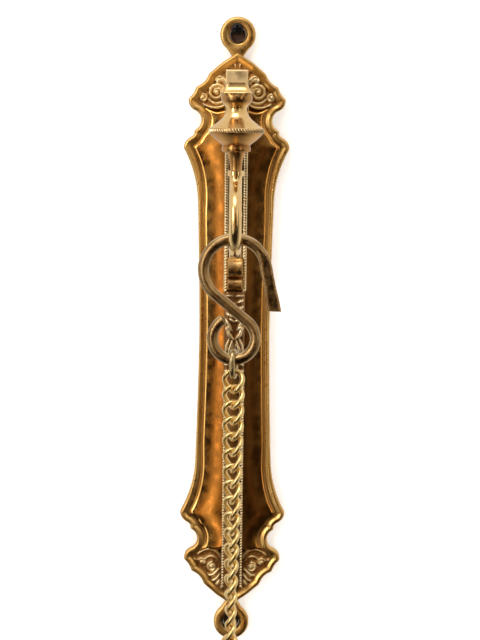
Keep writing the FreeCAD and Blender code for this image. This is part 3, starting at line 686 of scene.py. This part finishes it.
coat("arm", polish)
screw_finish = brass("screw_brass", (0.72, 0.55, 0.28), (0.52, 0.36, 0.16), 0.32, bump=0.3)
for node in ("arm_screw", "brace_screw_1", "brace_screw_2", "swivel_washer", "swivel_nut"):
    coat(node, screw_finish)

# ---------------------------------------------------------------- brace
# Cast strap, rib, rolls and leaf under the arm, screwed through the plate. A rope edge runs up
# both sides; rib and leaf are unlacquered brass with painted shade in their creases and hollows,
# and strap and rolls are painted darker as shade.

# Its dark painted-light colour is painted shade in the creases beside the beads and in the leaf's hollows.
cast_finish = brass("brace_brass", (1.0, 0.86, 0.56), (0.88, 0.68, 0.38), 0.26, grain=(120, 120, 120),
                    bump=0.2, pits=0.15, painted_light=(0.26, 0.13, 0.05))
# A darker copy of the brace brass, as painted shade: it darkens the rolls, their cheeks and the rim core
# under the knurl teeth.
painted_shade_roll_finish = brass("brace_roll_brass_painted_shade", (0.66, 0.42, 0.17), (0.34, 0.18, 0.06), 0.30, grain=(40, 90, 160),
                    bump=0.15, pits=0.08)

ARM_UNDER = 129.7
SPINE_FRONT = 11.0
SPINE_FOOT = -142.0
BRACE_REACH = 56.0
RIB_THICK = 5.0
RIB_HALF = 6.2
ROLL_Z = 36.0
ROLL_RADIUS = 5.5
ROLL_HALF = 4.1


def rib_line():
    """Middle line of the rib in (forward, height): straight at the foot, then an arc out to the arm."""
    middle = SPINE_FRONT + RIB_THICK / 2
    start = ROLL_Z + 12
    rise, run = ARM_UNDER - start, BRACE_REACH - middle
    bend = (run**2 + rise**2) / (2 * run)
    reach = asin(rise / bend)
    line = [(middle, z) for z in np.linspace(23.4, start, 40)[:-1]]
    for angle in np.linspace(0, reach, 150):
        line.append((middle + bend - bend * cos(angle), start + bend * sin(angle)))
    return line


def strap(name, line, section, material, painted_light_mix):
    """Bar swept along a line in the upright plane; section gives (sideways, outward) points."""
    line = np.array(line)
    along = np.gradient(line, axis=0)
    along /= np.linalg.norm(along, axis=1)[:, None]
    outward = np.stack([along[:, 1], -along[:, 0]], axis=1)
    section = np.array(section)
    verts = []
    for (forward, z), (out_f, out_z) in zip(line, outward):
        for side, out in section:
            verts.append((side, -(forward + out * out_f), z + out * out_z))
    count = len(section)
    faces = grid_faces(len(line), count, True)
    faces += [tuple(range(count)), tuple((len(line) - 1) * count + k for k in range(count))]
    return finish_mesh(name, verts, faces, material, sharp=45, painted_light=np.tile(painted_light_mix, len(line)))


def strap_section(half, thick, bead, groove):
    """Half-round beads on both edges with a shallow trough between them; flat behind."""
    front = thick / 2
    right = [(0.0, front - groove), (half - 2 * bead - 0.8, front - groove * 0.8),
             (half - 2 * bead - 0.2, front - groove - 0.25), (half - 2 * bead + 0.1, front - 0.35)]
    for k in range(7):
        turn = pi - pi * k / 6
        right.append((half - bead + bead * cos(turn), front - 0.35 + 0.75 * bead * sin(turn)))
    right += [(half, -front + 0.4), (half - 0.4, -front)]
    left = [(-x, y) for x, y in reversed(right[1:])]
    # Painted shade: darkest in the crease at the foot of each bead, lighter on the bead's outer side and the
    # back.
    dark = [0.0, 0.35, 1.0, 0.9] + [0.6, 0.2, 0, 0, 0, 0.1, 0.3] + [0.3, 0.3]
    return right + left, dark + list(reversed(dark[1:]))


section, painted_light_mix = strap_section(RIB_HALF, RIB_THICK, 1.15, 0.55)
rib = strap("brace_rib", rib_line(), section, cast_finish, painted_light_mix)


def make_roll(forward, z, radius, half, turns):
    """Rolled end of the rib with a spiral on each cheek."""
    around = 64
    profile = [(0.0, half - 0.3), (radius - 1.3, half - 0.15), (radius - 0.5, half), (radius, half - 0.45),
               (radius * 0.985, half - 1.8), (radius * 0.93, half - 2.6), (radius * 0.95, 0.0)]
    profile += [(r, -side) for r, side in reversed(profile[:-1])]
    verts = []
    for r, side in profile:
        for k in range(around):
            turn = 2 * pi * k / around
            verts.append((side, -(forward + r * cos(turn)), z + r * sin(turn)))
    body = finish_mesh("roll", verts, grid_faces(len(profile), around, True), painted_shade_roll_finish, merge=0.001,
                       sharp=50)
    parts = [body]
    for hand in (1, -1):
        verts = []
        steps, ring = int(56 * turns), 8
        for k in range(steps + 1):
            share = k / steps
            turn = 2 * pi * turns * share + 0.6
            r = radius * (0.16 + 0.72 * (1 - share))
            wire = 0.10 * radius * (1 - 0.4 * share)
            for j in range(ring):
                side = 2 * pi * j / ring
                spread = r + wire * cos(side)
                verts.append((hand * (half - 0.35 + 0.8 * wire * sin(side)),
                              -(forward + spread * cos(turn)), z + spread * sin(turn)))
        faces = grid_faces(steps + 1, ring, True)
        faces += [tuple(range(ring)), tuple(steps * ring + j for j in range(ring))]
        parts.append(finish_mesh("cheek", verts, faces, painted_shade_roll_finish, sharp=60))
    return parts


small_roll = 0.72 * ROLL_RADIUS
rolls = make_roll(BRACE_REACH - ROLL_RADIUS, ARM_UNDER - ROLL_RADIUS, ROLL_RADIUS, RIB_HALF, 1.8)
rolls += make_roll(SPINE_FRONT + ROLL_RADIUS, ROLL_Z, ROLL_RADIUS, ROLL_HALF, 1.8)
rolls += make_roll(SPINE_FRONT + small_roll, ROLL_Z - 1.72 * ROLL_RADIUS + 0.5, small_roll, ROLL_HALF, 1.5)
rib = join("brace_rib", [rib] + rolls)


def bead_row():
    """Node tree: beads set one after another along a line, each turned the same way."""
    tree = bpy.data.node_groups.new("bead_row", "GeometryNodeTree")
    nodes, links, face = tree.nodes, tree.links, tree.interface
    face.new_socket("Line", in_out="INPUT", socket_type="NodeSocketGeometry")
    sockets = {}
    for label, kind in (("Spacing", "NodeSocketFloat"), ("Bead size", "NodeSocketVector"),
                        ("Turn", "NodeSocketVector"), ("Unevenness", "NodeSocketFloat"),
                        ("Finish", "NodeSocketMaterial")):
        sockets[label] = face.new_socket(label, in_out="INPUT", socket_type=kind).identifier
    face.new_socket("Beads", in_out="OUTPUT", socket_type="NodeSocketGeometry")
    given, made = nodes.new("NodeGroupInput"), nodes.new("NodeGroupOutput")
    line = nodes.new("GeometryNodeMeshToCurve")
    upright = nodes.new("GeometryNodeSetCurveNormal")
    upright.mode = "Z_UP"
    spots = nodes.new("GeometryNodeCurveToPoints")
    spots.mode = "LENGTH"
    ball = nodes.new("GeometryNodeMeshUVSphere")
    set_inputs(ball, {"Segments": 8, "Rings": 6, "Radius": 1.0})
    shape = nodes.new("GeometryNodeTransform")
    euler = nodes.new("FunctionNodeEulerToRotation")
    rotate = nodes.new("FunctionNodeRotateRotation")
    rotate.rotation_space = "LOCAL"
    place = nodes.new("GeometryNodeInstanceOnPoints")
    chance = nodes.new("FunctionNodeRandomValue")
    chance.data_type = "FLOAT"
    set_inputs(chance, {"Seed": 7})
    low = nodes.new("ShaderNodeMath")
    low.operation = "SUBTRACT"
    set_inputs(low, {0: 1.0})
    real = nodes.new("GeometryNodeRealizeInstances")
    smooth = nodes.new("GeometryNodeSetShadeSmooth")
    paint = nodes.new("GeometryNodeSetMaterial")
    links.new(given.outputs["Line"], line.inputs[0])
    links.new(line.outputs[0], upright.inputs["Curve"])
    links.new(upright.outputs[0], spots.inputs["Curve"])
    links.new(given.outputs["Spacing"], spots.inputs["Length"])
    links.new(ball.outputs["Mesh"], shape.inputs["Geometry"])
    links.new(given.outputs["Bead size"], shape.inputs["Scale"])
    links.new(given.outputs["Turn"], euler.inputs[0])
    links.new(spots.outputs["Rotation"], rotate.inputs[0])
    links.new(euler.outputs[0], rotate.inputs[1])
    links.new(spots.outputs["Points"], place.inputs["Points"])
    links.new(shape.outputs[0], place.inputs["Instance"])
    links.new(rotate.outputs[0], place.inputs["Rotation"])
    links.new(given.outputs["Unevenness"], low.inputs[1])
    links.new(low.outputs[0], chance.inputs[2])
    links.new(chance.outputs[1], place.inputs["Scale"])
    links.new(place.outputs[0], real.inputs[0])
    links.new(real.outputs[0], smooth.inputs[0])
    links.new(smooth.outputs[0], paint.inputs["Geometry"])
    links.new(given.outputs["Finish"], paint.inputs["Material"])
    links.new(paint.outputs[0], made.inputs[0])
    return tree, sockets


bead_tree, bead_inputs = bead_row()


def beads(name, lines, spacing, size, turn, unevenness, finish):
    """Rows of beads along lines of points in millimetres, as one plain mesh."""
    verts, edges = [], []
    for line, closed in lines:
        base = len(verts)
        verts += [tuple(v * MM for v in p) for p in line]
        edges += [(base + k, base + k + 1) for k in range(len(line) - 1)]
        if closed:
            edges.append((base + len(line) - 1, base))
    mesh = bpy.data.meshes.new(name + "_line")
    mesh.from_pydata(verts, edges, [])
    row = bpy.data.objects.new(name, mesh)
    bpy.context.scene.collection.objects.link(row)
    modifier = row.modifiers.new("beads", "NODES")
    modifier.node_group = bead_tree
    modifier[bead_inputs["Spacing"]] = spacing * MM
    modifier[bead_inputs["Bead size"]] = tuple(v * MM for v in size)
    modifier[bead_inputs["Turn"]] = turn
    modifier[bead_inputs["Unevenness"]] = unevenness
    modifier[bead_inputs["Finish"]] = finish
    graph = bpy.context.evaluated_depsgraph_get()
    plain = bpy.data.meshes.new_from_object(row.evaluated_get(graph))
    row.modifiers.clear()
    row.data = plain
    plain.name = name
    bpy.data.meshes.remove(mesh)
    return row


bead_finish = brass("bead_brass", (0.96, 0.80, 0.52), (0.78, 0.56, 0.28), 0.24, grain=(300, 300, 300),
                    bump=0.2)


def rib_edge(side, out):
    line = np.array(rib_line())
    along = np.gradient(line, axis=0)
    along /= np.linalg.norm(along, axis=1)[:, None]
    return [(side, -(f + out * t[1]), z - out * t[0]) for (f, z), t in zip(line, along)]


rope = beads("brace_rope", [(rib_edge(side, 2.55), False) for side in (5.05, -5.05)], 1.55,
             (1.0, 0.85, 1.35), (0.0, radians(38), 0.0), 0.12, bead_finish)


# The strap's dark colours are painted shade, for the strap lying behind the chain.
strap_finish = brass("spine_brass_painted_shade", (0.46, 0.26, 0.09), (0.20, 0.10, 0.03), 0.34, grain=(60, 60, 160),
                     bump=0.1)


def make_spine():
    """Long flat strap against the plate, with softened edges."""
    half, back, front = 5.6, PANEL_TOP, SPINE_FRONT
    section = [(-half, -back), (-half, -front + 0.7), (-half + 0.25, -front + 0.2), (-half + 0.8, -front),
               (half - 0.8, -front), (half - 0.25, -front + 0.2), (half, -front + 0.7), (half, -back)]
    levels = list(np.linspace(SPINE_FOOT, ARM_UNDER, 60))
    verts = [(x, y, z) for z in levels for x, y in section]
    faces = grid_faces(len(levels), len(section), True)
    count = len(section)
    faces += [tuple(range(count)), tuple((len(levels) - 1) * count + k for k in range(count))]
    return finish_mesh("brace_spine_strap", verts, faces, strap_finish, sharp=50)


spine = make_spine()
spine_beads = beads("spine_rope", [([(side, -10.6, z) for z in np.linspace(-141.0, -24.5, 40)], False)
                                   for side in (5.0, -5.0)],
                    1.5, (0.75, 0.75, 1.05), (0.0, radians(30), 0.0), 0.15, bead_finish)


def make_leaf():
    """Acanthus leaf: scaled plaque, two curled tips in a V, then long reeded lobes to a ledge."""
    step = 0.2
    x, z = np.meshgrid(np.arange(-5.6, 5.61, step), np.arange(-23.0, 22.81, step))
    body = np.interp(z, [-23.0, -17.2, -17.0, 4, 9, 16, 22.8], [16.4, 16.5, 16.5, 19.6, 20.2, 19.5, 18.0])
    strokes = both_sides([
        stroke([(3.9, 3.2), (2.9, -0.5), (0.5, -3.4)], 1.15, 2.2, 0.6),
        spiral(3.9, 2.6, 1.3, 0.9, 200, -1, 0.65, 2.2),
        stroke([(4.9, 8.0), (3.3, 5.5), (1.4, 1.6)], 0.8, 1.5),
        stroke([(1.0, -3.6), (2.6, -9.0), (2.9, -15.4)], 1.05, 1.7),
        stroke([(2.8, -3.0), (4.4, -7.0), (4.8, -13.0)], 0.8, 1.4),
        stroke([(0.65, -5.5), (0.75, -15.5)], 0.45, 1.2),
        stroke([(4.6, 18.5), (1.8, 17.0)], 0.9, 1.6),
        stroke([(4.6, 15.0), (1.6, 13.0)], 0.9, 1.7),
        stroke([(4.4, 11.4), (1.4, 9.2)], 0.9, 1.6),
        stroke([(1.0, 20.6), (5.0, 20.8)], 0.6, 1.3),
        stroke([(0.4, 6.4), (2.6, 8.2)], 0.8, 1.3),
    ]) + [stroke([(0.0, 12.0), (0.0, 16.6)], 0.7, 1.5), stroke([(-4.9, -17.3), (4.9, -17.3)], 0.7, 1.3, 0.1),
          stroke([(-4.9, -20.9), (4.9, -20.9)], 0.9, 1.0, 0.1)]
    dome = soften(cast_height(x, z, strokes), 1)
    round_off = np.sqrt(np.clip(1 - np.clip((np.abs(x) - 3.4) / 2.6, 0, 1)**2, 0, 1))
    front = 11.0 + (body - 12.4) * (0.45 + 0.55 * round_off) + dome * 0.85
    front = np.minimum(front, 20.6)
    # Painted shade: the leaf darkens where it stands low between its strokes.
    hollow = np.clip(1.0 - 0.95 * dome, 0, 1)**1.3
    everywhere = np.ones(x.shape, dtype=bool)
    return sheet_from_field("brace_acanthus", x, z, front, everywhere, 10.9, cast_finish, hollow)


leaf = make_leaf()
for piece, stands_for in ((rib, "brace_scroll"), (rope, None), (spine, "brace_spine"), (spine_beads, None),
                          (leaf, "brace_leaf")):
    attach(piece, "bracket")
    if stands_for:
        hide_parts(stands_for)

# ---------------------------------------------------------------- turned drop
# Bell, knurled rim and bowl of brass, turned on a lathe and screwed together under the arm's end.
# The bell grows out of the square bar; the rim is rolled with slanting teeth.

# Its dark painted-light colour is painted shade, laid on the bell's bulge under the square bar's flare.
drop_finish = brass("turned_brass", (0.93, 0.66, 0.31), (0.76, 0.47, 0.17), 0.22, grain=(50, 50, 200),
                    bump=0.10, lacquer=0.15, painted_light=(0.42, 0.21, 0.06))
# The bowl is a darker, shaded copy of the turned brass: painted shade for its underside.
shaded_bowl_finish = brass("bowl_brass_painted_shade", (0.66, 0.38, 0.13), (0.42, 0.20, 0.06), 0.24, grain=(40, 40, 260),
                    bump=0.12)
AXIS_Y = -90.0


def turned(name, rings, material, sharp=35, dark=lambda z: 0.0):
    """Lathe work about the drop's axis: rings are (radius, height, squareness from 2 round to 8)."""
    around = 128
    verts, painted_light_mix = [], []
    for radius, z, power in rings:
        # dark(z) gives how much painted shade each ring gets.
        painted_light_mix += [dark(z)] * around
        for k in range(around):
            turn = 2 * pi * k / around
            c, s = cos(turn), sin(turn)
            r = radius / (abs(c)**power + abs(s)**power)**(1 / power) if radius else 0.0
            verts.append((r * c, AXIS_Y + r * s, z))
    return finish_mesh(name, verts, grid_faces(len(rings), around, True), material, merge=0.0005, sharp=sharp,
                       painted_light=painted_light_mix)


def blend_curve(points, count=8):
    """Smooth profile through the given points."""
    points = np.array(points, dtype=float)
    out = []
    for k in range(len(points) - 1):
        p0, p1 = points[max(k - 1, 0)], points[k]
        p2, p3 = points[k + 1], points[min(k + 2, len(points) - 1)]
        for j in range(count):
            t = j / count
            out.append(tuple(0.5 * (2 * p1 + (p2 - p0) * t + (2 * p0 - 5 * p1 + 4 * p2 - p3) * t**2
                                    + (3 * p1 - p0 - 3 * p2 + p3) * t**3)))
    return out + [tuple(points[-1])]


bell_rings = [(0.0, 134.8, 8), (5.5, 134.8, 8)]
bell_rings += blend_curve([(5.66, 134.4, 8), (5.75, 133.4, 8), (6.2, 131.8, 8), (7.0, 130.5, 7),
                           (8.0, 129.4, 6), (8.15, 129.0, 5)], 5)
bell_rings += blend_curve([(7.4, 128.8, 3.0), (7.75, 128.0, 2.3), (8.0, 126.9, 2), (7.8, 125.6, 2),
                           (7.0, 124.1, 2), (5.9, 122.9, 2)], 6)
bell_rings += blend_curve([(5.8, 122.7, 2), (5.2, 121.7, 2), (5.3, 120.3, 2), (6.0, 118.4, 2),
                           (7.4, 116.4, 2), (9.6, 114.5, 2), (12.0, 112.7, 2), (13.7, 111.5, 2)], 8)
bell_rings += [(14.0, 111.2, 2), (13.2, 110.9, 2), (0.0, 110.9, 2)]
# Painted shade darkens the bulge under the flare.
bell = turned("drop_bell_turned", bell_rings, drop_finish, 40,
              lambda z: 0.85 * max(0.0, min(1.0, min((129.1 - z) / 0.3, (z - 122.4) / 2.5))))
bowl_rings = [(0.0, 109.6, 2), (13.6, 109.6, 2)]
bowl_rings += blend_curve([(13.9, 109.3, 2), (12.9, 108.0, 2), (11.4, 106.5, 2), (9.6, 104.9, 2),
                           (7.7, 103.4, 2), (7.0, 102.7, 2)], 8)
bowl_rings += [(7.0, 102.4, 2), (7.35, 102.1, 2), (7.4, 101.6, 2), (7.4, 100.2, 2), (7.2, 99.8, 2),
               (6.6, 99.5, 2)]
bowl_rings += blend_curve([(5.0, 99.3, 2), (4.3, 98.0, 2), (3.55, 95.6, 2), (3.1, 92.6, 2),
                           (3.0, 90.22, 2)], 7)
bowl_rings += [(0.0, 90.22, 2)]
bowl = turned("drop_bowl_turned", bowl_rings, shaded_bowl_finish, 40)
# The rim core under the teeth takes the darker roll brass as painted shade.
rim_core = turned("knurled_rim_core", [(0.0, 111.4, 2), (13.4, 111.4, 2), (13.7, 111.1, 2), (13.8, 110.7, 2),
                                       (13.8, 109.7, 2), (13.7, 109.3, 2), (13.3, 109.1, 2), (0.0, 109.1, 2)],
                  painted_shade_roll_finish, 30)
TEETH = 60
TOOTH_CIRCLE = 13.75
RIM_MIDDLE = 110.2
circle = [(TOOTH_CIRCLE * cos(2 * pi * k / 180), AXIS_Y + TOOTH_CIRCLE * sin(2 * pi * k / 180), RIM_MIDDLE)
          for k in range(180)]
knurl = beads("rim_knurl", [(circle, True)], TOOTH_CIRCLE * 2 * pi / TEETH, (0.62, 1.35, 0.42),
              (radians(30), 0.0, 0.0), 0.04, bead_finish)
for piece, stands_for in ((bell, "drop_bell"), (bowl, "drop_bowl"), (rim_core, "knurled_rim"), (knurl, None)):
    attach(piece, "bracket")
    if stands_for:
        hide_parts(stands_for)

# ---------------------------------------------------------------- swivel hook
# Round bar bent to a question mark with a ball on its tip; its collar turns under the drop.
# The washer and nut inside the bowl hold it up.

hook_finish = brass("polished_hook_brass", (0.94, 0.70, 0.35), (0.74, 0.46, 0.17), 0.20, grain=(60, 60, 30),
                    bump=0.10)
coat("hook", hook_finish)

# ---------------------------------------------------------------- S-hook
# Forged bronze bar with a dark skin and a painted highlight on its upward-facing side and the tail's
# outer edge. The upper loop runs out into a tail beaten flat and cut off slantwise; the lower eye is
# closed against the shank.

# Its pale painted-light colour is a painted highlight, laid on by the S-hook's mask.
forged_finish = brass("forged_bronze", (0.52, 0.34, 0.15), (0.20, 0.115, 0.045), 0.27, grain=(110, 110, 110),
                      bump=0.3, pits=0.30, painted_light=(0.86, 0.66, 0.38))
S_WIRE = 2.85
S_UPPER = (39.50, 16.0)
S_LOWER = (4.40, 11.0)
TAIL_ANGLE = 11.4
TAIL_LENGTH = 24.5


def s_path():
    """Middle line of the S-hook in its plane, from the tail's end to the end of the eye."""
    (upper_z, upper), (lower_z, lower) = S_UPPER, S_LOWER
    cross = degrees(asin((upper + lower) / (upper_z - lower_z)))
    lean = radians(TAIL_ANGLE)
    start = (upper * cos(lean), upper_z + upper * sin(lean))
    line = []
    for share in np.linspace(1, 0, 40)[:-1]:
        line.append((start[0] + share * TAIL_LENGTH * sin(lean), start[1] - share * TAIL_LENGTH * cos(lean)))
    for angle in np.linspace(TAIL_ANGLE, 180 + cross, 130):
        line.append((upper * cos(radians(angle)), upper_z + upper * sin(radians(angle))))
    first = (line[-1][0], line[-1][1])
    second = (lower * cos(radians(cross)), lower_z + lower * sin(radians(cross)))
    for share in np.linspace(0, 1, 24)[1:-1]:
        line.append((first[0] + share * (second[0] - first[0]), first[1] + share * (second[1] - first[1])))
    for angle in np.linspace(cross, -245, 120):
        line.append((lower * cos(radians(angle)), lower_z + lower * sin(radians(angle))))
    return np.array(line)


def make_s_hook():
    """Uneven round bar along the path, beaten flat toward the tail."""
    line = s_path()
    along = np.gradient(line, axis=0)
    along /= np.linalg.norm(along, axis=1)[:, None]
    outward = np.stack([along[:, 1], -along[:, 0]], axis=1)
    length = np.concatenate([[0], np.cumsum(np.linalg.norm(np.diff(line, axis=0), axis=1))])
    rng = np.random.default_rng(11)
    around = 36
    wobble = np.interp(length, np.linspace(0, length[-1], 46), rng.normal(0, 0.055, 46))
    verts, shine = [], []
    for row, ((x, z), (ox, oz), at) in enumerate(zip(line, outward, length)):
        flat = np.clip((TAIL_LENGTH + 9 - at) / 14, 0, 1)
        flat = flat * flat * (3 - 2 * flat)
        wide = S_WIRE * (1 - flat) + flat * (3.1 + 0.35 * np.clip(1 - at / 12, 0, 1))
        deep = S_WIRE * (1 - flat) + flat * 2.0
        power = 2 + 3.2 * flat
        taper = 1 if at < length[-1] - 1.6 else sqrt(max(0.0, 1 - ((at - length[-1] + 1.6) / 1.75)**2))
        for k in range(around):
            turn = 2 * pi * k / around
            c, s = cos(turn), sin(turn)
            r = taper / (abs(c)**power + abs(s)**power)**(1 / power)
            side = (wide + wobble[row] * (1 + flat)) * r * c
            front = (deep + 0.5 * wobble[row]) * r * s
            slant = -0.7 * np.clip(1 - at / 3, 0, 1) * side / 3
            verts.append((x + ox * side + slant * along[row, 0], AXIS_Y - front,
                          z + oz * side + slant * along[row, 1]))
            # Painted highlight: lighter on the bar's upward-facing side and along the flat tail's outer edge.
            painted_highlight = np.clip((oz * c - 0.6) / 0.3, 0, 1) * (1 - flat) + flat * np.clip((c - 0.8) / 0.15, 0, 1)
            shine.append(float(np.clip(painted_highlight, 0, 1)))
    faces = grid_faces(len(line), around, True)
    faces += [tuple(range(around)), tuple((len(line) - 1) * around + k for k in range(around))]
    return finish_mesh("s_hook_forged", verts, faces, forged_finish, sharp=50, painted_light=np.array(shine))


s_hook = make_s_hook()
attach(s_hook, "s_hook")
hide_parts("s_hook")

# ---------------------------------------------------------------- chain and load hook
# Curb chain of twisted wire links under a plain oval link, with a small hook for the load.
# The links are satin from handling; the oval link is darker.

link_finish = brass("chain_brass", (0.96, 0.75, 0.36), (0.70, 0.47, 0.17), 0.28, grain=(150, 150, 150),
                    bump=0.2, pits=0.08)
oval_finish = brass("oval_link_brass", (0.62, 0.50, 0.26), (0.34, 0.24, 0.11), 0.28, grain=(120, 120, 120),
                    bump=0.25)
LINKS = 17
for number in range(1, LINKS + 1):
    coat(f"curb_link_{number:02d}", link_finish)
coat("connecting_link", oval_finish)
coat("load_hook", hook_finish)
